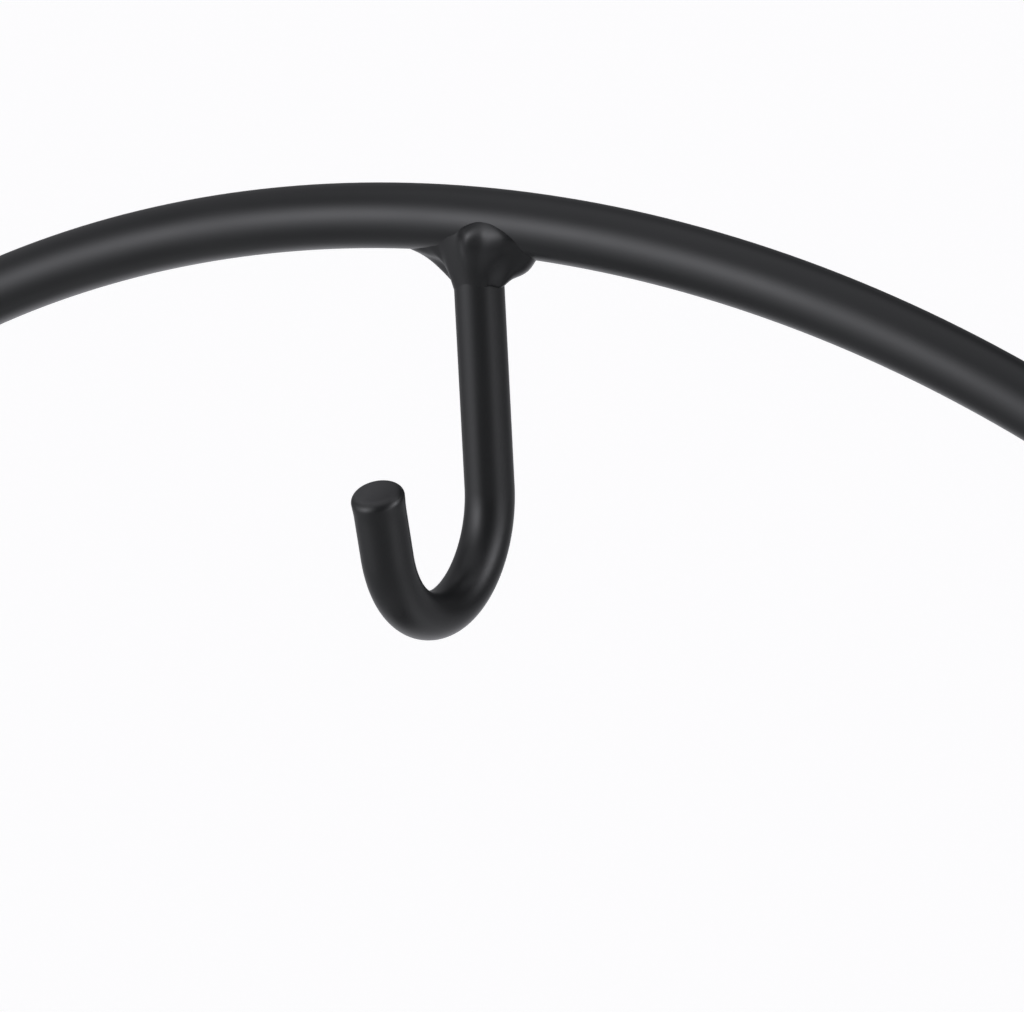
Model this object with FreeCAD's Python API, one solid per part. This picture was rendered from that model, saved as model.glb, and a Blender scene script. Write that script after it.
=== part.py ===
import FreeCAD
import Part

import math
import os

# Hanging ornament stand: a round steel rod is bent into an arch, a J-hook of thinner rod is welded
# under its crown, and the two threaded leg ends are bolted through a flat plate on rubber feet.
# Millimetres. The origin is the middle of the footprint on the table, +Z is up, the arch spans X,
# and the hook opens to the front, which is -Y.

# Arch
ROD_D = 6.0
ARCH_R = 132.0  # centreline radius of the half circle
LEG_LENGTH = 232.0  # straight leg, from the plate's top to the start of the half circle

# Hook
HOOK_D = 4.6
HOOK_SHANK = 22.1  # straight shank, from the rod's underside to the start of the bend
HOOK_BEND_R = 9.2  # centreline radius of the bend
HOOK_TURN = 170.0  # degrees from straight down to the tip's direction
HOOK_TIP = 6.3  # straight stretch beyond the bend, to the middle of the end
HOOK_END_SLANT = 9.0  # degrees by which the sheared end faces the front
HOOK_END_ROUND = 0.6  # rounding of the sheared end

# Weld bead between the hook and the crown
WELD_DROP = 3.4  # how far the bead runs down the shank below the rod
WELD_TOE = 0.12  # thickness where it fades out on the shank
WELD_LEFT = 4.9  # reach along the rod beyond the shank, at the rod's underside
WELD_RIGHT = 3.9
WELD_FRONT = 1.5
WELD_BACK = 1.7
WELD_BULGE = 1.2  # thickness on the front of the rod
WELD_BACK_BULGE = 0.4  # and on its back
WELD_MOUND = 3.7  # half width of the mound in front of the rod, level with WELD_FULLEST
WELD_FULLEST = -1.0  # height of its fullest place above the rod's middle
WELD_CLIMB = 1.0  # how far above the rod's middle the mound ends
WELD_SHIFT = 2.3  # how far its top lies to the right of the shank

# Base plate
PLATE_THICK = 3.0
PLATE_DEPTH = 130.0
PLATE_END_MARGIN = 18.0  # plate beyond each leg's axis
PLATE_CORNER_R = 20.0
PLATE_EDGE_R = 0.8

# Leg fixing: stop flange welded on the leg, threaded end, washer and hex nut
THREAD_D = 5.8
THREAD_CHAMFER = 0.7
THREAD_STICKOUT = 1.0  # thread that shows below the nut
HOLE_CLEARANCE = 0.3  # all round the thread in the plate and the washer
THREAD_CLEARANCE = 0.05  # all round the thread in the nut
FLANGE_D = 14.0
FLANGE_THICK = 2.5
FLANGE_CHAMFER = 0.5
BEAD_LEG = 2.2  # fillet weld between the leg and the flange
BEAD_CROWN = 0.35  # how far that bead stands out of its straight fillet line
WASHER_D = 12.0
WASHER_THICK = 1.6
NUT_FLATS = 10.0
NUT_HEIGHT = 5.0
NUT_CORNER_ANGLE = 30.0  # slope of the chamfer that rounds the nut's corners

# Rubber feet
FOOT_TOP_D = 20.0
FOOT_TAPER = 1.5  # how much smaller the radius is at the table
FOOT_EDGE_R = 1.5
FOOT_INSET = 18.0  # foot centre from the plate's two nearest edges
FLOOR_GAP = 2.4  # free height under the thread ends

# Places worked out from the sizes above
ROD_R = ROD_D / 2
HOOK_R = HOOK_D / 2
THREAD_R = THREAD_D / 2
FOOT_HEIGHT = FLOOR_GAP + THREAD_STICKOUT + NUT_HEIGHT + WASHER_THICK
PLATE_BOTTOM = FOOT_HEIGHT
PLATE_TOP = PLATE_BOTTOM + PLATE_THICK
PLATE_LENGTH = 2 * (ARCH_R + PLATE_END_MARGIN)
SPRING_LINE = PLATE_TOP + LEG_LENGTH
CROWN = SPRING_LINE + ARCH_R  # height of the rod's centre at the top of the arch
CROWN_UNDERSIDE = CROWN - ROD_R
WASHER_BOTTOM = PLATE_BOTTOM - WASHER_THICK
NUT_BOTTOM = WASHER_BOTTOM - NUT_HEIGHT
THREAD_END = NUT_BOTTOM - THREAD_STICKOUT
FLANGE_TOP = PLATE_TOP + FLANGE_THICK
SIDES = {"left": -1, "right": 1}
ENDS = {"front": -1, "rear": 1}

UP = FreeCAD.Vector(0, 0, 1)


def point(x, y, z):
    return FreeCAD.Vector(x, y, z)


def closed_face(edges):
    return Part.Face(Part.Wire(edges))


def polyline(points):
    """Straight edges from each point to the next."""
    return [Part.LineSegment(a, b).toShape() for a, b in zip(points, points[1:])]


def turned(edges):
    """A closed profile in the XZ plane turned once round the Z axis."""
    return closed_face(edges).revolve(point(0, 0, 0), UP, 360)


def ring(outer_d, inner_d, bottom, top):
    height = top - bottom
    base = point(0, 0, bottom)
    outer = Part.makeCylinder(outer_d / 2, height, base, UP)
    return outer.cut(Part.makeCylinder(inner_d / 2, height, base, UP))


def at(shape, x, y):
    """A copy of a shape that was made round the Z axis, moved to x, y."""
    moved = shape.copy()
    moved.translate(point(x, y, 0))
    return moved


def round_rod(edges, diameter):
    """A round bar along joined edges, with square-cut ends."""
    path = Part.Wire(edges)
    first = edges[0]
    start = first.valueAt(first.FirstParameter)
    direction = first.tangentAt(first.FirstParameter)
    section = Part.Wire([Part.makeCircle(diameter / 2, start, direction)])
    return path.makePipeShell([section], True, True)


def make_arch():
    """The arch rod with its two legs, and a threaded end under each leg."""
    left_foot, right_foot = point(-ARCH_R, 0, PLATE_TOP), point(ARCH_R, 0, PLATE_TOP)
    left_spring, right_spring = point(-ARCH_R, 0, SPRING_LINE), point(ARCH_R, 0, SPRING_LINE)
    crown_arc = Part.Arc(left_spring, point(0, 0, CROWN), right_spring).toShape()
    legs = [Part.LineSegment(left_foot, left_spring).toShape(), crown_arc]
    legs.append(Part.LineSegment(right_spring, right_foot).toShape())
    arch = round_rod(legs, ROD_D)
    thread = turned(
        polyline(
            [
                point(0, 0, PLATE_TOP),
                point(THREAD_R, 0, PLATE_TOP),
                point(THREAD_R, 0, THREAD_END + THREAD_CHAMFER),
                point(THREAD_R - THREAD_CHAMFER, 0, THREAD_END),
                point(0, 0, THREAD_END),
                point(0, 0, PLATE_TOP),
            ]
        )
    )
    for side in SIDES.values():
        arch = arch.fuse(at(thread, side * ARCH_R, 0))
    return arch.removeSplitter()


def make_hook(arch):
    """The J-hook: a straight shank coped to the underside of the rod, one round bend towards the front
    and a short leaning tip."""
    turn = math.radians(HOOK_TURN)
    bend_start = point(0, 0, CROWN_UNDERSIDE - HOOK_SHANK)
    bend_centre = bend_start + point(0, -HOOK_BEND_R, 0)

    def on_bend(angle):
        return bend_centre + point(0, math.cos(angle), -math.sin(angle)) * HOOK_BEND_R

    def leaning(angle):
        return point(0, -math.sin(angle), -math.cos(angle))

    bend_end = on_bend(turn)
    tip_end = bend_end + leaning(turn) * HOOK_TIP
    line = [
        Part.LineSegment(point(0, 0, CROWN), bend_start).toShape(),
        Part.Arc(bend_start, on_bend(turn / 2), bend_end).toShape(),
        Part.LineSegment(bend_end, tip_end + leaning(turn) * HOOK_D).toShape(),
    ]
    sheared_off = Part.makeCylinder(
        2 * HOOK_D, 2 * HOOK_D, tip_end, leaning(turn - math.radians(HOOK_END_SLANT))
    )
    hook = round_rod(line, HOOK_D).cut(arch).cut(sheared_off)
    tip_edge = min(hook.Edges, key=lambda e: (e.CenterOfMass - tip_end).Length)
    return hook.makeFillet(HOOK_END_ROUND, [tip_edge])


def weld_ring(height, left, right, front, back):
    """One level outline of the weld bead: quarter ovals that end at these x and y, as a smooth loop."""
    count = 16
    middle, half_width = (left + right) / 2, (right - left) / 2
    loop = []
    for k in range(count):
        c, s = math.cos(2 * math.pi * k / count), math.sin(2 * math.pi * k / count)
        loop.append(point(middle + c * half_width, s * (back if s > 0 else -front), height))
    curve = Part.BSplineCurve()
    curve.interpolate(Points=loop, PeriodicFlag=True)
    return Part.Wire([curve.toShape()])


def make_hook_weld(arch, hook):
    """The lumpy fillet weld round the top of the shank. It is lofted through level outlines, from where
    it fades out on the shank to where it climbs the front of the rod, and cut to fit both rods.
    The left flank is a hollow web, the right one is a round lobe, and the front is a mound whose top
    lies to the right."""
    rings = []
    edge = HOOK_R + WELD_TOE
    # share of WELD_DROP above the lower toe, then the share of each reach: left, right, front, back
    below_rod = [
        (0.00, 0.00, 0.00, 0.00, 0.00),
        (0.30, 0.14, 0.30, 0.10, 0.15),
        (0.60, 0.35, 0.72, 0.50, 0.50),
        (0.85, 0.66, 0.94, 0.85, 0.85),
        (1.00, 1.00, 1.00, 1.00, 1.00),
    ]
    for rise, left, right, front, back in below_rod:
        height = CROWN_UNDERSIDE - WELD_DROP * (1 - rise)
        left_end, right_end = -edge - left * WELD_LEFT, edge + right * WELD_RIGHT
        rings.append(
            weld_ring(height, left_end, right_end, -edge - front * WELD_FRONT, edge + back * WELD_BACK)
        )
    # share of the way from the fullest place down to the underside or, if negative, up to the top, then
    # the share of the mound's half width, of its shift to the right and of its thickness
    beside_rod = [
        (0.50, 1.20, 0.72, 1.35),
        (0.00, 1.00, 0.80, 1.00),
        (-0.40, 0.72, 0.96, 0.90),
        (-0.70, 0.46, 1.00, 0.64),
        (-1.00, 0.20, 1.00, 0.15),
    ]
    for share, width, shift, proud in beside_rod:
        span = ROD_R + WELD_FULLEST if share > 0 else WELD_CLIMB - WELD_FULLEST
        rise = WELD_FULLEST - share * span
        rod_half = math.sqrt(ROD_R**2 - rise**2)
        front = rod_half + proud * WELD_BULGE
        back = rod_half + WELD_BACK_BULGE * share
        on_rod = math.sqrt(1 - (rod_half / front) ** 2)
        half_width = width * WELD_MOUND / on_rod
        middle = shift * WELD_SHIFT
        rings.append(weld_ring(CROWN + rise, middle - half_width, middle + half_width, -front, back))
    return Part.makeLoft(rings, True, False).cut(arch).cut(hook)


def make_base_plate():
    """Flat steel plate with round corners, softened edges and a clearance hole for each leg."""
    corner = point(-PLATE_LENGTH / 2, -PLATE_DEPTH / 2, PLATE_BOTTOM)
    plate = Part.makeBox(PLATE_LENGTH, PLATE_DEPTH, PLATE_THICK, corner)
    upright = [e for e in plate.Edges if abs(e.tangentAt(e.FirstParameter).z) > 0.5]
    plate = plate.makeFillet(PLATE_CORNER_R, upright)
    rims = [e for e in plate.Edges if abs(e.tangentAt(e.FirstParameter).z) < 0.5]
    plate = plate.makeFillet(min(PLATE_EDGE_R, 0.45 * PLATE_THICK), rims)
    hole = Part.makeCylinder(THREAD_R + HOLE_CLEARANCE, PLATE_THICK, point(0, 0, PLATE_BOTTOM), UP)
    for side in SIDES.values():
        plate = plate.cut(at(hole, side * ARCH_R, 0))
    return plate


def make_stop_flange():
    """Round collar on the leg that stops it on top of the plate."""
    inner, outer = ROD_R, FLANGE_D / 2
    return turned(
        polyline(
            [
                point(inner, 0, PLATE_TOP),
                point(outer, 0, PLATE_TOP),
                point(outer, 0, FLANGE_TOP - FLANGE_CHAMFER),
                point(outer - FLANGE_CHAMFER, 0, FLANGE_TOP),
                point(inner, 0, FLANGE_TOP),
                point(inner, 0, PLATE_TOP),
            ]
        )
    )


def make_flange_weld():
    """Crowned fillet weld in the corner between the leg and its stop flange."""
    corner = point(ROD_R, 0, FLANGE_TOP)
    on_leg = corner + point(0, 0, BEAD_LEG)
    on_flange = corner + point(BEAD_LEG, 0, 0)
    outward = point(1, 0, 1).normalize()
    middle = (on_leg + on_flange) * 0.5 + outward * BEAD_CROWN
    edges = polyline([on_leg, corner, on_flange])
    edges.append(Part.Arc(on_flange, middle, on_leg).toShape())
    return turned(edges)


def make_washer():
    return ring(WASHER_D, THREAD_D + 2 * HOLE_CLEARANCE, WASHER_BOTTOM, PLATE_BOTTOM)


def make_nut():
    """Hexagon nut whose six corners are turned off at both faces."""
    corner_r = NUT_FLATS / math.sqrt(3)
    corners = [math.radians(60 * k) for k in range(7)]
    outline = polyline([point(corner_r * math.cos(a), corner_r * math.sin(a), NUT_BOTTOM) for a in corners])
    hexagon = closed_face(outline).extrude(UP * NUT_HEIGHT)
    face_r = NUT_FLATS / 2
    slope = math.tan(math.radians(NUT_CORNER_ANGLE)) * (corner_r - face_r)
    turned_off = turned(
        polyline(
            [
                point(0, 0, NUT_BOTTOM),
                point(face_r, 0, NUT_BOTTOM),
                point(corner_r, 0, NUT_BOTTOM + slope),
                point(corner_r, 0, WASHER_BOTTOM - slope),
                point(face_r, 0, WASHER_BOTTOM),
                point(0, 0, WASHER_BOTTOM),
                point(0, 0, NUT_BOTTOM),
            ]
        )
    )
    bore = Part.makeCylinder(THREAD_R + THREAD_CLEARANCE, NUT_HEIGHT, point(0, 0, NUT_BOTTOM), UP)
    return hexagon.common(turned_off).cut(bore)


def make_foot():
    """Tapered rubber bumper with a rounded lower edge, stuck to the plate's underside."""
    top_r = FOOT_TOP_D / 2
    bottom_r = top_r - FOOT_TAPER
    flat_r = bottom_r - FOOT_EDGE_R
    side_start = point(bottom_r, 0, FOOT_EDGE_R)
    round_middle = point(flat_r, 0, FOOT_EDGE_R) + point(1, 0, -1).normalize() * FOOT_EDGE_R
    edges = [Part.Arc(point(flat_r, 0, 0), round_middle, side_start).toShape()]
    edges += polyline(
        [
            side_start,
            point(top_r, 0, FOOT_HEIGHT),
            point(0, 0, FOOT_HEIGHT),
            point(0, 0, 0),
            point(flat_r, 0, 0),
        ]
    )
    return turned(edges)


def make_parts():
    """Every piece by its name, in its place on the stand."""
    arch = make_arch()
    hook = make_hook(arch)
    parts = {
        "arch": arch,
        "hook": hook,
        "hook_weld": make_hook_weld(arch, hook),
        "base_plate": make_base_plate(),
    }
    leg_pieces = {
        "stop_flange": make_stop_flange(),
        "flange_weld": make_flange_weld(),
        "washer": make_washer(),
        "nut": make_nut(),
    }
    foot = make_foot()
    foot_x, foot_y = PLATE_LENGTH / 2 - FOOT_INSET, PLATE_DEPTH / 2 - FOOT_INSET
    for side, x_sign in SIDES.items():
        for name, piece in leg_pieces.items():
            parts[f"{side}_{name}"] = at(piece, x_sign * ARCH_R, 0)
        for end, y_sign in ENDS.items():
            parts[f"{end}_{side}_foot"] = at(foot, x_sign * foot_x, y_sign * foot_y)
    return parts


os.makedirs("parts", exist_ok=True)
for name, shape in make_parts().items():
    box = shape.BoundBox
    print(
        f"{name}: {len(shape.Solids)} solid, valid {shape.isValid()}, {shape.Volume:.1f} mm3,"
        f" {box.XLength:.1f} x {box.YLength:.1f} x {box.ZLength:.1f}"
    )
    shape.exportStep(f"parts/{name}.step")
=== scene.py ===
import math

import bpy
import numpy as np
from mathutils import Matrix, Vector


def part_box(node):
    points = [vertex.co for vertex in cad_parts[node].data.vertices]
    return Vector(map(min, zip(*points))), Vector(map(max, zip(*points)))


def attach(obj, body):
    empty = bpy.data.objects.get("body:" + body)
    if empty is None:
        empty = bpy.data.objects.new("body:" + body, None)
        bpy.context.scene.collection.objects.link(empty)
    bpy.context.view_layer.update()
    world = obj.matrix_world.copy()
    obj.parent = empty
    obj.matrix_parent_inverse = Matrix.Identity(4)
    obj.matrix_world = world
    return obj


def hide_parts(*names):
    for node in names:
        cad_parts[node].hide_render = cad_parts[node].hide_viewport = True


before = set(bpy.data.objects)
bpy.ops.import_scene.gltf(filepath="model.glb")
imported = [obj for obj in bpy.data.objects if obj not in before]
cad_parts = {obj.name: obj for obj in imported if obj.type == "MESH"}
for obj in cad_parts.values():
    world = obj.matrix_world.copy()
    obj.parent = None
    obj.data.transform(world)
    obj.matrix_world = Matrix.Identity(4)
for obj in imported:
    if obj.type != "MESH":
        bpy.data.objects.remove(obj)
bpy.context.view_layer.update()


# Arch: one length of 6 mm mild-steel rod, bent cold to a half circle with two straight legs that end
# on the base plate. It is powder coated black after the hook and the stop flanges are welded on.
MM = 0.001
ROD_RADIUS = 3.0 * MM
ARCH_RADIUS = 132.0 * MM
CROWN = 377.0 * MM  # height of the rod's centre at the top of the arch
PLATE_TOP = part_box("base_plate")[1].z
ARC_RINGS, LEG_RINGS = 241, 32  # of the mesh


def linear(hex_colour):
    """An sRGB colour such as "#1d1e20" as linear red, green, blue and alpha."""
    srgb = np.array([int(hex_colour[k : k + 2], 16) for k in (1, 3, 5)]) / 255
    rgb = np.where(srgb <= 0.04045, srgb / 12.92, ((srgb + 0.055) / 1.055) ** 2.4)
    return (*rgb, 1.0)


def add_node(tree, kind, inputs=None, **settings):
    """One shader node. Settings are its own properties, and each input takes a value or the output
    socket of an earlier node."""
    made = tree.nodes.new(kind)
    for name, value in settings.items():
        setattr(made, name, value)
    for socket, value in (inputs or {}).items():
        if isinstance(value, bpy.types.NodeSocket):
            tree.links.new(value, made.inputs[socket])
        else:
            made.inputs[socket].default_value = value
    return made


def blank_material(name):
    """A new material without any nodes, and its node tree."""
    material = bpy.data.materials.new(name)
    material.use_nodes = True
    material.node_tree.nodes.clear()
    return material, material.node_tree


def noise(tree, place, size_mm, detail):
    """Noise from 0 to 1 whose features are about this many millimetres across."""
    inputs = {"Vector": place, "Scale": 1.0 / (size_mm * MM), "Detail": detail}
    return add_node(tree, "ShaderNodeTexNoise", inputs).outputs["Fac"]


def ramp(tree, value, start, end, first=0.0, last=1.0):
    """Runs from first to last while the value goes from start to end, and is level before and after."""
    inputs = {"Value": value, "From Min": start, "From Max": end, "To Min": first, "To Max": last}
    return add_node(tree, "ShaderNodeMapRange", inputs).outputs["Result"]


def tones(tree, value, stops):
    """The colour for a value from 0 to 1, mixed from the stops on both sides of it. The stops give a
    colour for each place, in rising order."""
    made = add_node(tree, "ShaderNodeValToRGB", {"Fac": value})
    elements = made.color_ramp.elements
    elements.remove(elements[1])
    elements[0].position = min(stops)
    for place, colour in stops.items():
        element = elements[0] if place == min(stops) else elements.new(place)
        element.color = colour
    return made.outputs["Color"]


def bumps(tree, height, strength, depth_mm):
    """The normals of a surface that has this height map on it."""
    inputs = {"Height": height, "Strength": strength, "Distance": depth_mm * MM}
    return add_node(tree, "ShaderNodeBump", inputs).outputs["Normal"]


def surface(tree, inputs):
    """Ends a material's tree with one principled shader."""
    shader = add_node(tree, "ShaderNodeBsdfPrincipled", inputs)
    add_node(tree, "ShaderNodeOutputMaterial", {"Surface": shader.outputs["BSDF"]})


def satin_powder_coat(name="satin black powder-coated steel", sheared=None):
    """Satin black powder coat on steel: a baked polyester film, nearly black and slightly cool, with
    soft broad highlights, faint orange peel and small cloudy changes of gloss. A sheared face, given by
    a point on it and its facing, has a thin and duller film, most of all on its left, and is painted
    lighter
    there: partly the thin film, partly a painted highlight of the light from the left."""
    material, tree = blank_material(name)
    place = add_node(tree, "ShaderNodeTexCoord").outputs["Object"]
    cloud = noise(tree, place, size_mm=9.0, detail=3.0)
    peel = noise(tree, place, size_mm=0.9, detail=2.0)
    colour = tones(tree, cloud, {0.3: linear("#121314"), 0.7: linear("#151617")})
    rough = ramp(tree, cloud, 0.3, 0.7, first=0.36, last=0.41)
    if sheared:
        point, facing = sheared
        edge_start, edge_end = -0.25 * MM, -0.05 * MM  # the dull film begins on the rounded edge
        left_end, right_end = -0.8 * MM, 2.0 * MM  # and fades from left to right, as painted light from the left
        face_radius, past_face = 2.6 * MM, 2.9 * MM  # nothing further off belongs to the face
        from_face = add_node(
            tree, "ShaderNodeVectorMath", {0: place, 1: point}, operation="SUBTRACT"
        ).outputs["Vector"]
        height = add_node(
            tree, "ShaderNodeVectorMath", {0: from_face, 1: facing}, operation="DOT_PRODUCT"
        ).outputs["Value"]
        across = add_node(tree, "ShaderNodeSeparateXYZ", {"Vector": from_face}).outputs["X"]
        off_middle = add_node(
            tree, "ShaderNodeVectorMath", {0: from_face}, operation="LENGTH"
        ).outputs["Value"]
        on_face = ramp(tree, height, edge_start, edge_end)
        painted_light_leftward = ramp(tree, across, left_end, right_end, first=1.0, last=0.2)
        near = ramp(tree, off_middle, face_radius, past_face, first=painted_light_leftward, last=0.0)
        # the dull mask makes the film rougher and also paints its colour lighter: partly a thin film,
        # partly painted light
        dull = add_node(tree, "ShaderNodeMath", {0: on_face, 1: near}, operation="MULTIPLY").outputs[0]
        # painted highlight: the face's colour is lightened towards #3a3a3b, most of all on the left,
        # where the light comes from
        colour = add_node(
            tree, "ShaderNodeMix", {0: dull, 6: colour, 7: linear("#3a3a3b")}, data_type="RGBA"
        ).outputs[2]
        rough = add_node(tree, "ShaderNodeMix", {0: dull, 2: rough, 3: 0.55}).outputs[0]
    orange_peel = bumps(tree, peel, strength=0.25, depth_mm=0.012)
    surface(tree, {"Base Color": colour, "Roughness": rough, "IOR": 1.5, "Normal": orange_peel})
    return material


def round_rod(centre, tangent, binormal, radius, around=96):
    """Rings of a round bar: at each point of the centreline a circle across the tangent, centre +
    radius * (cos a * normal + sin a * binormal), where the normal is binormal x tangent."""
    angle = np.linspace(0, 2 * np.pi, around, endpoint=False)[None, :, None]
    normal = np.cross(binormal, tangent)[:, None, :]
    circle = np.cos(angle) * normal + np.sin(angle) * np.asarray(binormal)
    return centre[:, None, :] + np.broadcast_to(radius, len(centre))[:, None, None] * circle


def skin(name, rings, material, poles=None, looped=False):
    """A closed mesh over a grid of points, rows by columns by xyz. Each row closes on itself. A looped
    grid joins its last row to its first, and any other has its first and last rows closed by fans to
    the two poles, or to the rows' own middles."""
    rows, columns, _ = rings.shape
    points = rings.reshape(-1, 3)
    index = np.arange(rows * columns).reshape(rows, columns)
    ahead = np.roll(index, -1, axis=1)
    quads = np.stack([index, ahead, np.roll(ahead, -1, axis=0), np.roll(index, -1, axis=0)], axis=-1)
    fans = np.empty((0, 3), int)
    if not looped:
        quads = quads[:-1]
        points = np.vstack([points, rings[[0, -1]].mean(axis=1) if poles is None else poles])
        first = np.full(columns, rows * columns)
        lower = np.stack([ahead[0], index[0], first], axis=-1)
        upper = np.stack([index[-1], ahead[-1], first + 1], axis=-1)
        fans = np.vstack([lower, upper])
    corners = points[quads]
    crossed = np.cross(corners[..., 2, :] - corners[..., 0, :], corners[..., 3, :] - corners[..., 1, :])
    from_middle = corners.mean(axis=2) - corners.mean(axis=2).mean(axis=1, keepdims=True)
    if (crossed * from_middle).sum() < 0:
        quads, fans = quads[..., ::-1], fans[:, ::-1]
    mesh = bpy.data.meshes.new(name)
    mesh.from_pydata(points.tolist(), [], quads.reshape(-1, 4).tolist() + fans.tolist())
    mesh.shade_smooth()
    mesh.materials.append(material)
    made = bpy.data.objects.new(name, mesh)
    bpy.context.scene.collection.objects.link(made)
    return made


powder_coat = satin_powder_coat()
turn = np.linspace(np.pi, 0, ARC_RINGS)
spring_line = CROWN - ARCH_RADIUS
arc = np.stack(
    [ARCH_RADIUS * np.cos(turn), 0 * turn, spring_line + ARCH_RADIUS * np.sin(turn)], axis=-1
)
arc_way = np.stack([np.sin(turn), 0 * turn, -np.cos(turn)], axis=-1)
leg_height = np.linspace(PLATE_TOP, spring_line, LEG_RINGS)[:-1]
leg = np.stack([0 * leg_height + ARCH_RADIUS, 0 * leg_height, leg_height], axis=-1)
leg_way = np.tile([0, 0, 1], (len(leg), 1))
arch_line = np.vstack([leg * [-1, 1, 1], arc, leg[::-1]])
arch_way = np.vstack([leg_way, arc_way, -leg_way])
arch = skin("bent_arch_rod", round_rod(arch_line, arch_way, (0, 1, 0), ROD_RADIUS), powder_coat)
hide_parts("arch")
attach(arch, "root")


# Hook: a J of 4.6 mm rod, welded under the crown. The wire is sheared to length, so its end is flat
# with an edge that the coat has rounded, and it is bent towards the front before welding.
HOOK_RADIUS = 2.3 * MM
SHANK_END = 351.9 * MM  # where the straight shank meets the bend
BEND_RADIUS = 9.2 * MM
BEND_TURN = math.radians(170)
BEND_SAG = 0.09 * MM  # the bend's middle lies this far outside the true circle
BEND_THINNING = 0.028  # share of its thickness that the rod loses in the middle of the bend
TIP_LENGTH = 6.5 * MM
TIP_ROUND = 0.75 * MM
TIP_SLANT = math.tan(math.radians(7.0))  # the shear left the end lower in front, a little to the right
TIP_SLANT_AZIMUTH = math.radians(12)
TIP_COAT = 0.07 * MM  # the coat runs together towards the tip
TIP_BEAD = 0.07 * MM  # and gathers in a thin bead behind the edge
TIP_BEAD_SPREAD = 0.7 * MM
SHANK_RINGS, BEND_RINGS, TIP_RINGS, EDGE_RINGS = 32, 97, 14, 13  # of the mesh
FLAT_RINGS = [0.95, 0.6, 0.25]  # on the flat of the end, as shares of its radius

sweep = np.linspace(0, BEND_TURN, BEND_RINGS)
tip_way = np.array([0, -math.sin(BEND_TURN), -math.cos(BEND_TURN)])
bend_way = np.stack([0 * sweep, -np.sin(sweep), -np.cos(sweep)], axis=-1)
outward = np.stack([0 * sweep, np.cos(sweep), -np.sin(sweep)], axis=-1)
bend_radius = BEND_RADIUS + BEND_SAG * np.sin(sweep) ** 2
bend = np.array([0, -BEND_RADIUS, SHANK_END]) + bend_radius[:, None] * outward
rim = np.linspace(0, np.pi / 2, EDGE_RINGS)
tip_step = np.append(TIP_LENGTH - TIP_ROUND + TIP_ROUND * np.sin(rim), [TIP_LENGTH] * len(FLAT_RINGS))
flat_radius = HOOK_RADIUS - TIP_ROUND
tip_radius = np.append(flat_radius + TIP_ROUND * np.cos(rim), flat_radius * np.array(FLAT_RINGS))
straight = np.linspace(0, TIP_LENGTH - TIP_ROUND, TIP_RINGS)[1:-1]
tip_step = np.append(straight, tip_step)
tip_radius = np.append(np.full(len(straight), HOOK_RADIUS), tip_radius)
shank_height = np.linspace(CROWN, SHANK_END, SHANK_RINGS)[:-1]
shank = np.stack([0 * shank_height, 0 * shank_height, shank_height], axis=-1)
hook_line = np.vstack([shank, bend, bend[-1] + tip_step[:, None] * tip_way])
shank_way = np.tile([0, 0, -1], (len(shank), 1))
hook_way = np.vstack([shank_way, bend_way, np.tile(tip_way, (len(tip_step), 1))])
hook_radius = np.concatenate([np.full(len(shank) + len(bend), HOOK_RADIUS), tip_radius])
swell = np.concatenate([0 * shank_height, np.linspace(0, 1, len(bend)) ** 4, np.ones(len(tip_step))])
behind_edge = (tip_step - TIP_LENGTH + TIP_ROUND) / TIP_BEAD_SPREAD
bead = np.append(0 * hook_radius[: -len(tip_step)], np.exp(-(behind_edge**2)))
hook_radius = hook_radius * (1 + bead * TIP_BEAD / HOOK_RADIUS) + TIP_COAT * swell
hook_rings = round_rod(hook_line, hook_way, (1, 0, 0), hook_radius)
bend_rows = slice(len(shank), len(shank) + len(bend))
thinner = BEND_THINNING * np.sin(sweep)[:, None] ** 4
in_plane = ((hook_rings[bend_rows] - bend[:, None]) * outward[:, None]).sum(axis=-1)
hook_rings[bend_rows] -= (thinner * in_plane)[..., None] * outward[:, None]
across_tip = np.array([0, -tip_way[2], tip_way[1]])
slant_way = math.sin(TIP_SLANT_AZIMUTH) * np.array([1, 0, 0]) + math.cos(TIP_SLANT_AZIMUTH) * across_tip
tip_rows = slice(-len(tip_step), None)
forward = (hook_rings[tip_rows] - hook_line[tip_rows, None]) @ slant_way
slanted = np.clip(tip_step / (TIP_LENGTH - TIP_ROUND), 0, 1)[:, None]
hook_rings[tip_rows] -= (TIP_SLANT * slanted * forward)[..., None] * tip_way
face_way = tip_way + TIP_SLANT * slant_way
# the sheared end is painted lighter on its left: partly a thin dull film, partly painted light from the
# left
hook_coat = satin_powder_coat(
    "satin black powder-coated steel, dull on the sheared end",
    (hook_line[-1], face_way / np.linalg.norm(face_way)),
)
hook = skin("j_hook", hook_rings, hook_coat)
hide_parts("hook")
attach(hook, "root")


# Weld at the crown: one hand-laid bead round the root of the hook, coated with the rest. It is a
# mound in front on the right, a round lobe under the rod behind it, and a hollow web to the left.
WELD_SUNK = 0.04 * MM  # how far the bead's two edges dip into the rods
WELD_HIDDEN_END = CROWN - 5.0 * MM  # inside the shank, where the lower edge closes
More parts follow.
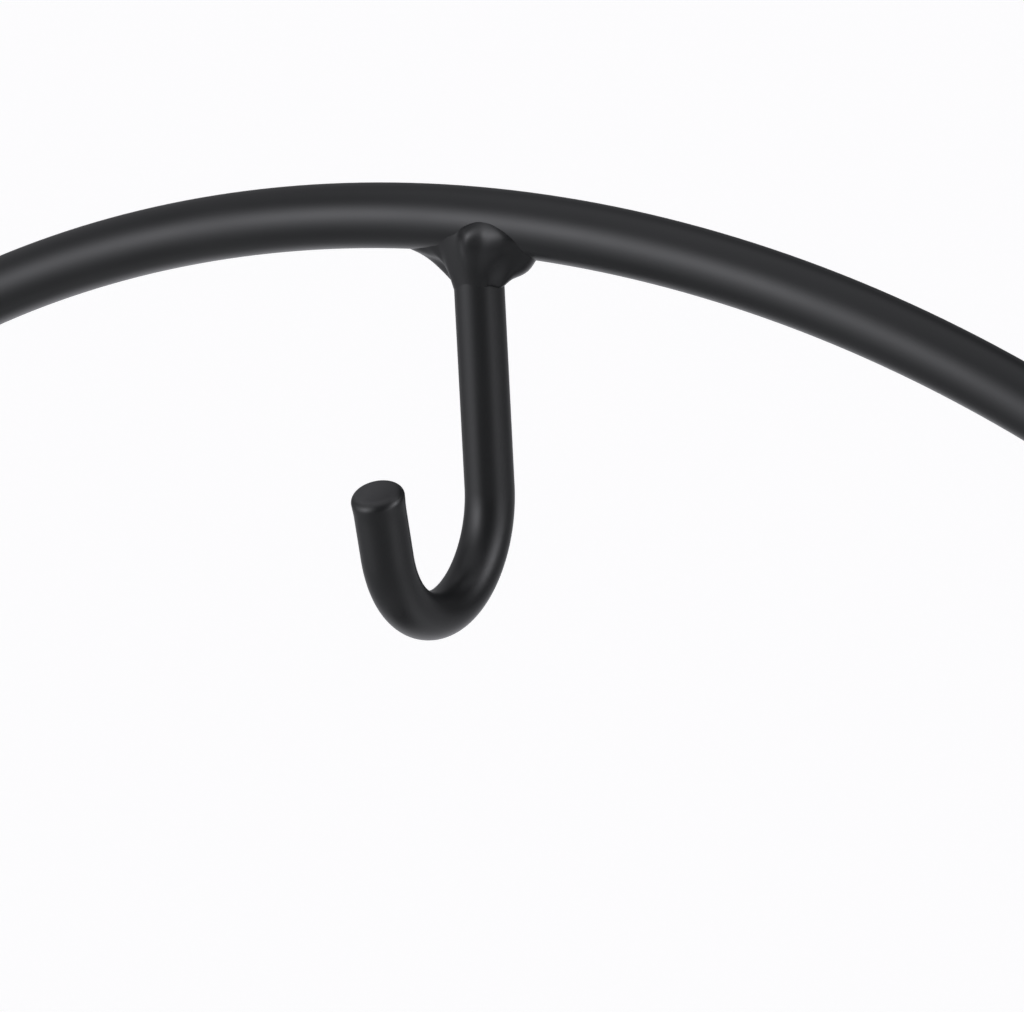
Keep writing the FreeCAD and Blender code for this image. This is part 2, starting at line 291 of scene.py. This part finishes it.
# The tables go by degrees round the shank: 0 is the right, 90 the front, 180 the left, 270 the back.
WELD_DROP = {0: 2.7, 40: 2.7, 90: 3.4, 140: 3.6, 180: 3.4, 270: 2.6}  # mm, rod's underside to lower edge
WELD_REACH = {  # mm from the hook's axis to the upper edge, over the skin of the rod
    0: 6.3,
    13: 7.3,
    36: 6.9,
    67: 6.0,
    77: 5.3,
    95: 4.2,
    142: 4.0,
    160: 5.0,
    170: 6.4,
    182: 8.8,
    194: 6.5,
    215: 4.6,
    270: 4.2,
    345: 5.4,
}
WELD_LUMPS = {  # middle and half width in degrees, where it is fullest from edge to edge, height in mm
    "mound": (64, 15, 0.75, 1.0),
    "mound's crest": (80, 6, 0.85, 0.45),
    "mound's shoulder": (46, 8, 0.92, 0.4),
    "nick in the mound": (64, 4, 0.85, -0.12),
    "lobe": (8, 15, 0.6, 0.4),
    "lobe's foot": (26, 8, 0.2, 0.8),
    "hollow over the shank": (95, 32, 0.12, -0.07),
    "dip beside the web": (133, 11, 0.85, -0.15),
    "hollow of the web": (168, 13, 0.45, -0.8),
    "hollow under the rod": (186, 9, 0.85, -0.5),
    "web's rear edge": (196, 10, 0.3, 0.3),
    "back": (270, 35, 0.7, 0.9),
    "back on the right": (328, 20, 0.75, 0.4),
}
LUMP_STEEPNESS = 4  # the sum of the two powers p and q in weld_bead
DROP_BLUR, REACH_BLUR = 10, 3  # degrees


def all_round(angle, table, blur):
    """Values given at a few angles in degrees, joined by straight runs round the full turn and then
    smoothed by a Gaussian of blur degrees."""
    runs = np.interp(np.degrees(angle), list(table), list(table.values()), period=360)
    waves = np.arange(len(angle) // 2 + 1)
    soft = np.exp(-0.5 * (waves * math.radians(blur)) ** 2)
    return np.fft.irfft(np.fft.rfft(runs) * soft, len(angle))


def weld_bead(columns=288, rows=72):
    """Rings of the bead. At each angle round the shank a straight line runs from the lower edge on the
    shank to the upper edge on the arch rod, s from 0 to 1. Each lump swells the surface off that line by
    its height, times a Gaussian of the angle from its middle, times the curve s ** p * (1 - s) ** q
    scaled to 1 where the lump is fullest."""
    angle = np.linspace(0, 2 * np.pi, columns, endpoint=False)
    right, front = np.cos(angle), np.sin(angle)
    shank_radius = HOOK_RADIUS - WELD_SUNK
    drop = MM * all_round(angle, WELD_DROP, DROP_BLUR)
    lower = np.stack([shank_radius * right, -shank_radius * front, -ROD_RADIUS - drop], axis=-1)
    reach = MM * all_round(angle, WELD_REACH, REACH_BLUR)
    along_arch = reach * right / ARCH_RADIUS
    round_tube = reach * front / ROD_RADIUS
    tube = ROD_RADIUS - WELD_SUNK
    out = ARCH_RADIUS - tube * np.cos(round_tube)
    upper = np.stack(
        [out * np.sin(along_arch), -tube * np.sin(round_tube), out * np.cos(along_arch) - ARCH_RADIUS],
        axis=-1,
    )
    chord = upper - lower
    radial = np.stack([right, -front, 0 * right], axis=-1)
    spread = (chord * radial).sum(axis=-1, keepdims=True)
    away = chord[:, 2:] * radial - spread * np.array([0, 0, 1])
    away /= np.linalg.norm(away, axis=-1, keepdims=True)
    s = (0.5 - 0.5 * np.cos(np.linspace(0, np.pi, rows)))[:, None]
    swell = 0 * s * angle
    for middle, width, fullest, height in WELD_LUMPS.values():
        off = (np.degrees(angle) - middle + 180) % 360 - 180
        p, q = LUMP_STEEPNESS * fullest, LUMP_STEEPNESS * (1 - fullest)
        profile = (s / fullest) ** p * ((1 - s) / (1 - fullest)) ** q
        swell = swell + height * MM * np.exp(-0.5 * (off / width) ** 2) * profile
    return lower + s[..., None] * chord + swell[..., None] * away + np.array([0, 0, CROWN])


weld_poles = np.array([[0, 0, WELD_HIDDEN_END], [0, 0, CROWN]])
weld = skin("crown_weld", weld_bead(), powder_coat, weld_poles)
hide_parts("hook_weld")
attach(weld, "root")


# Base plate: 3 mm steel sheet with round corners and softened edges, drilled for the two legs. It has
# the same coat as the arch, baked on before the legs are bolted down.
def finish_node(name, material):
    """Gives a solid of the frame this material all over."""
    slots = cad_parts[name].data.materials
    slots.clear()
    slots.append(material)


finish_node("base_plate", powder_coat)


# Stop flanges: a turned steel collar on each leg that rests on the plate. A fillet weld holds it to the
# leg, laid in one turn, so the bead has the ripples of a weld pool that froze step by step.
FLANGE_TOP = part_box("left_stop_flange")[1].z
BEAD_LEG = 2.2 * MM
BEAD_CROWN = 0.35 * MM
BEAD_STEP = 1.3 * MM  # from one ripple to the next, along the bead
BEAD_RIPPLE = 0.07 * MM
RIPPLE_MEAN = 0.6  # about the mean of |sin|, so that the ripples leave the bead its size
RIPPLE_BOW, RIPPLE_STRAY = 0.5, 0.12  # in ripples: how far they bow across the bead and drift along it
BEAD_WAVER, BEAD_QUIVER = 0.06 * MM, 0.04 * MM  # slow and quick changes of the bulge round the leg
BEAD_INNER_ROWS = 8  # up the leg, inside the bead


def flange_bead(x, columns=40, rows=288):
    """Rings of a fillet weld round a leg at x. Across the bead it is a triangle with its corner where leg
    and flange meet, whose long side bulges by crown * 4 s (1 - s); slanting ripples run along it."""
    angle = np.linspace(0, 2 * np.pi, rows, endpoint=False)[:, None]
    s = np.linspace(0, 1, columns - BEAD_INNER_ROWS)[None, :]
    count = round(2 * np.pi * (ROD_RADIUS + BEAD_LEG / 2) / BEAD_STEP)
    lean = RIPPLE_BOW * np.sin(np.pi * s) + RIPPLE_STRAY * np.sin(3 * angle)
    ripple = BEAD_RIPPLE * (np.abs(np.sin(0.5 * count * angle + np.pi * lean)) - RIPPLE_MEAN)
    swell = BEAD_WAVER * np.sin(2 * angle + x / ARCH_RADIUS) + BEAD_QUIVER * np.sin(5 * angle)
    bulge = 4 * s * (1 - s) * (BEAD_CROWN + ripple + swell)
    out = BEAD_LEG * (1 - s) + bulge / math.sqrt(2)
    rise = BEAD_LEG * s + bulge / math.sqrt(2)
    inside = np.linspace(1, 0, BEAD_INNER_ROWS + 1)[None, 1:]
    out = np.concatenate([out, 0 * angle * inside - WELD_SUNK], axis=1)
    rise = np.concatenate([rise, 0 * angle + BEAD_LEG * inside - WELD_SUNK], axis=1)
    radius = ROD_RADIUS + out
    return np.stack(
        [x + radius * np.cos(angle), radius * np.sin(angle), FLANGE_TOP + rise], axis=-1
    )


for side, x in [("left", -ARCH_RADIUS), ("right", ARCH_RADIUS)]:
    finish_node(f"{side}_stop_flange", powder_coat)
    bead = skin(f"{side}_fillet_weld", flange_bead(x), powder_coat, looped=True)
    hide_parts(f"{side}_flange_weld")
    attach(bead, "root")


# Threads, washers and nuts: each leg ends in an M6 thread that was masked while the coat was sprayed.
# A flat washer and a hexagon nut under the plate pull the flange down on it. All are bright zinc plate.
THREAD_RADIUS = 2.9 * MM
THREAD_DEPTH = 0.55 * MM
THREAD_PITCH = 1.0 * MM
THREAD_CHAMFER = 0.7 * MM
THREAD_ROUNDING = 0.8  # a power under 1 narrows the crests
THREAD_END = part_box("arch")[0].z


def bright_zinc_plate():
    """Bright electroplated zinc on steel: a thin bluish-silver metal film, cloudy where the bath left it
    uneven, with fine handling scratches that widen the highlights."""
    material, tree = blank_material("bright zinc-plated steel")
    place = add_node(tree, "ShaderNodeTexCoord").outputs["Object"]
    cloud = noise(tree, place, size_mm=3.0, detail=4.0)
    drawn = add_node(tree, "ShaderNodeMapping", {"Vector": place, "Scale": (1.0, 6.0, 6.0)})
    scratch = noise(tree, drawn.outputs["Vector"], size_mm=1.2, detail=6.0)
    surface(
        tree,
        {
            "Base Color": tones(tree, cloud, {0.3: linear("#b4b9bf"), 0.7: linear("#d3d6d8")}),
            "Metallic": 1.0,
            "Roughness": ramp(tree, scratch, 0.3, 0.7, first=0.24, last=0.42),
            "Normal": bumps(tree, scratch, strength=0.3, depth_mm=0.01),
        },
    )
    return material


def leg_thread(x, columns=72, rows=170):
    """Rings of an M6 thread under a leg at x. The radius is the major radius less the depth times a
    rounded V wave of height / pitch - angle / full turn, and a 45 degree cone cuts the lower end."""
    angle = np.linspace(0, 2 * np.pi, columns, endpoint=False)[None, :]
    height = np.linspace(THREAD_END, PLATE_TOP, rows)[:, None]
    groove = 0.5 - 0.5 * np.cos(2 * np.pi * height / THREAD_PITCH - angle)
    radius = THREAD_RADIUS - THREAD_DEPTH * groove**THREAD_ROUNDING
    radius = np.minimum(radius, THREAD_RADIUS - THREAD_CHAMFER + height - THREAD_END)
    return np.stack([x + radius * np.cos(angle), radius * np.sin(angle), height + 0 * angle], axis=-1)


zinc = bright_zinc_plate()
for side, x in [("left", -ARCH_RADIUS), ("right", ARCH_RADIUS)]:
    thread = skin(f"{side}_leg_thread", leg_thread(x), zinc)
    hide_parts("arch")
    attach(thread, "root")
    finish_node(f"{side}_washer", zinc)
    finish_node(f"{side}_nut", zinc)


# Feet: four tapered bumpers of moulded black rubber, stuck under the plate's corners. They lift the
# nuts off the table and keep the stand from sliding.
def moulded_rubber():
    """Moulded black rubber: matt and dead black, with the fine stipple of a sand-blasted mould and a
    little dust that greys it in patches."""
    material, tree = blank_material("moulded black rubber")
    place = add_node(tree, "ShaderNodeTexCoord").outputs["Object"]
    dust = noise(tree, place, size_mm=6.0, detail=5.0)
    stipple = noise(tree, place, size_mm=0.5, detail=2.0)
    surface(
        tree,
        {
            "Base Color": tones(tree, dust, {0.4: linear("#141414"), 0.75: linear("#1f1f1e")}),
            "Roughness": ramp(tree, dust, 0.3, 0.7, first=0.62, last=0.8),
            "IOR": 1.52,
            "Normal": bumps(tree, stipple, strength=0.5, depth_mm=0.05),
        },
    )
    return material


rubber = moulded_rubber()
for end in ("front", "rear"):
    for side in ("left", "right"):
        finish_node(f"{end}_{side}_foot", rubber)


# Floor and light: a plain white board, and a photographer's tent with two softboxes, one in front on the
# left and one on the right. The board throws a dimmer glow up, on the right and behind on the left.
BOARD_GLOW = 0.65
FLOOR_RADIUS, FLOOR_CORNERS = 40.0, 64
TENT_TINT = (0.985, 0.985, 1.035)  # slightly cool
# The tent's greys go by height: 0 is straight down, 0.5 level and 1 straight up.
ROOM_GREYS = {0.0: 0.5, 0.1: 0.3, 0.36: 0.25, 0.5: 0.02, 0.65: 0.1, 0.78: 0.02, 0.85: 0.02, 0.96: 0.6}
SOFT_LIGHTS = {  # azimuth, elevation and spread in degrees, and brightness
    "front left softbox": (-25, 15, 15, 3.0),
    "its spill on the left": (-40, 5, 25, 1.9),
    "its spill above": (-20, 35, 15, 1.5),
    "right softbox": (100, 20, 15, 6.2),
    "its spill in front": (80, -5, 18, 1.4),
    "its spill above, on the right": (115, 55, 9, 1.8),
    "left side of the tent": (-105, 30, 45, 0.3),
    "board behind on the left": (-155, -40, 30, 0.85),
    "board on the right": (110, -45, 15, 0.55),
}


def white_board():
    """Matt white board with a faint glow, so that it stays white under any light."""
    material, tree = blank_material("matt white board")
    surface(
        tree,
        {
            "Base Color": linear("#bdbcbb"),
            "Roughness": 0.9,
            "Specular IOR Level": 0.0,
            "Emission Color": linear("#ffffff"),
            "Emission Strength": BOARD_GLOW,
        },
    )
    return material


def seen_from(azimuth, elevation):
    """Unit vector towards a viewer: azimuth 0 is straight in front (-Y), 90 is the right (+X)."""
    a, e = math.radians(azimuth), math.radians(elevation)
    return Vector((math.sin(a) * math.cos(e), -math.cos(a) * math.cos(e), math.sin(e)))


edge = np.linspace(0, 2 * np.pi, FLOOR_CORNERS, endpoint=False)
floor_mesh = bpy.data.meshes.new("floor")
floor_points = np.stack([FLOOR_RADIUS * np.cos(edge), FLOOR_RADIUS * np.sin(edge), 0 * edge], axis=-1)
floor_mesh.from_pydata(floor_points.tolist(), [], [list(range(len(edge)))])
floor_mesh.materials.append(white_board())
floor = bpy.data.objects.new("floor", floor_mesh)
floor.visible_glossy = False
bpy.context.scene.collection.objects.link(floor)

world = bpy.data.worlds.new("light tent")
world.use_nodes = True
sky = world.node_tree
sky.nodes.clear()
way = add_node(sky, "ShaderNodeTexCoord").outputs["Generated"]
height = add_node(sky, "ShaderNodeSeparateXYZ", {"Vector": way}).outputs["Z"]
share = ramp(sky, height, -1.0, 1.0)
glow = tones(sky, share, {place: (grey, grey, grey, 1.0) for place, grey in ROOM_GREYS.items()})
# each soft light is brightness * exp((cos - 1) / (1 - cos spread)) of the angle off its middle
for azimuth, elevation, spread, brightness in SOFT_LIGHTS.values():
    towards = seen_from(azimuth, elevation)
    near = add_node(sky, "ShaderNodeVectorMath", {0: way, 1: towards}, operation="DOT_PRODUCT")
    off = add_node(sky, "ShaderNodeMath", {0: near.outputs["Value"], 1: 1.0}, operation="SUBTRACT")
    fall = 1 / (1 - math.cos(math.radians(spread)))
    power = add_node(sky, "ShaderNodeMath", {0: off.outputs["Value"], 1: fall}, operation="MULTIPLY")
    bright = add_node(sky, "ShaderNodeMath", {0: power.outputs["Value"]}, operation="EXPONENT")
    lit = add_node(
        sky, "ShaderNodeMath", {0: bright.outputs["Value"], 1: brightness}, operation="MULTIPLY"
    )
    glow = add_node(
        sky, "ShaderNodeVectorMath", {0: glow, 1: lit.outputs["Value"]}, operation="ADD"
    ).outputs["Vector"]
cool = add_node(sky, "ShaderNodeVectorMath", {0: glow, 1: TENT_TINT}, operation="MULTIPLY")
room = add_node(sky, "ShaderNodeBackground", {"Color": cool.outputs["Vector"], "Strength": 1.0})
white = add_node(sky, "ShaderNodeBackground", {"Color": linear("#fdfdfd"), "Strength": 1.0})
seen = add_node(sky, "ShaderNodeLightPath").outputs["Is Camera Ray"]
both = add_node(
    sky, "ShaderNodeMixShader", {0: seen, 1: room.outputs["Background"], 2: white.outputs["Background"]}
)
add_node(sky, "ShaderNodeOutputWorld", {"Surface": both.outputs["Shader"]})
bpy.context.scene.world = world
bpy.context.scene.view_settings.view_transform = "Standard"


# Camera: a long lens in front on the right, a little above the crown and slightly rolled. It looks at
# the level where the hook's bend begins, so the arch's crown and the whole hook are in the picture.
AZIMUTH, ELEVATION, ROLL = 30.96, 16.01, -2.9  # degrees
DISTANCE = 622.3 * MM
AIM_RIGHT, AIM_BELOW_CROWN = 2.28 * MM, 26.7 * MM
SENSOR_WIDTH, FOCAL_LENGTH = 36, 239.8  # millimetres

aim = Vector((AIM_RIGHT, 0, CROWN - AIM_BELOW_CROWN))
back = seen_from(AZIMUTH, ELEVATION)
flat_right = Vector((math.cos(math.radians(AZIMUTH)), math.sin(math.radians(AZIMUTH)), 0))
turned = Matrix.Rotation(math.radians(ROLL), 3, back)
right = turned @ flat_right
up = back.cross(right)
lens = bpy.data.cameras.new("camera")
lens.sensor_width = SENSOR_WIDTH
lens.lens = FOCAL_LENGTH
camera = bpy.data.objects.new("camera", lens)
eye = aim + DISTANCE * back
camera.matrix_world = Matrix(
    [
        (right.x, up.x, back.x, eye.x),
        (right.y, up.y, back.y, eye.y),
        (right.z, up.z, back.z, eye.z),
        (0, 0, 0, 1),
    ]
)
bpy.context.scene.collection.objects.link(camera)
bpy.context.scene.camera = camera
